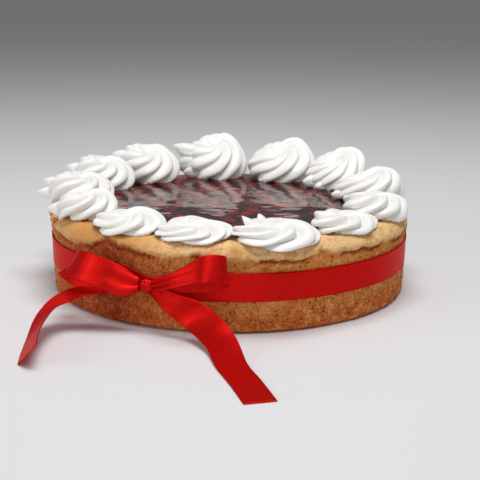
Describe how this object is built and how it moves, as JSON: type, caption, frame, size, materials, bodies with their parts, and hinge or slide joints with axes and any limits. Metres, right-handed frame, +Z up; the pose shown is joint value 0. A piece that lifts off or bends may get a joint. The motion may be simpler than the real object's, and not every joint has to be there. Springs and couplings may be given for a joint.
{
  "type": "sour cream cake",
  "caption": "Round shortcrust cake with a fruit jelly top, a ring of piped cream rosettes and a red satin ribbon tied in a bow.",
  "frame": {"origin": "centre of the cake's flat underside", "axes": "+Z up; -Y towards the front, where the bow is; +X to the right seen from the front"},
  "size_m": [0.2749, 0.3915, 0.0939],
  "materials": {
    "crust": "rough baked shortcrust",
    "jelly": "wet glossy jelly",
    "cream": "soft satin whipped cream",
    "satin": "satin ribbon"
  },
  "bodies": {
    "root": {"crust": "crust", "jelly": "jelly", "rosette_01": "cream", "rosette_02": "cream", "rosette_03": "cream", "rosette_04": "cream", "rosette_05": "cream", "rosette_06": "cream", "rosette_07": "cream", "rosette_08": "cream", "rosette_09": "cream", "rosette_10": "cream", "rosette_11": "cream", "rosette_12": "cream", "rosette_13": "cream", "ribbon_band": "satin", "bow_knot": "satin", "bow_loop_left": "satin", "bow_loop_right": "satin", "ribbon_tail_left": "satin", "ribbon_tail_right": "satin"}
  },
  "joints": []
}
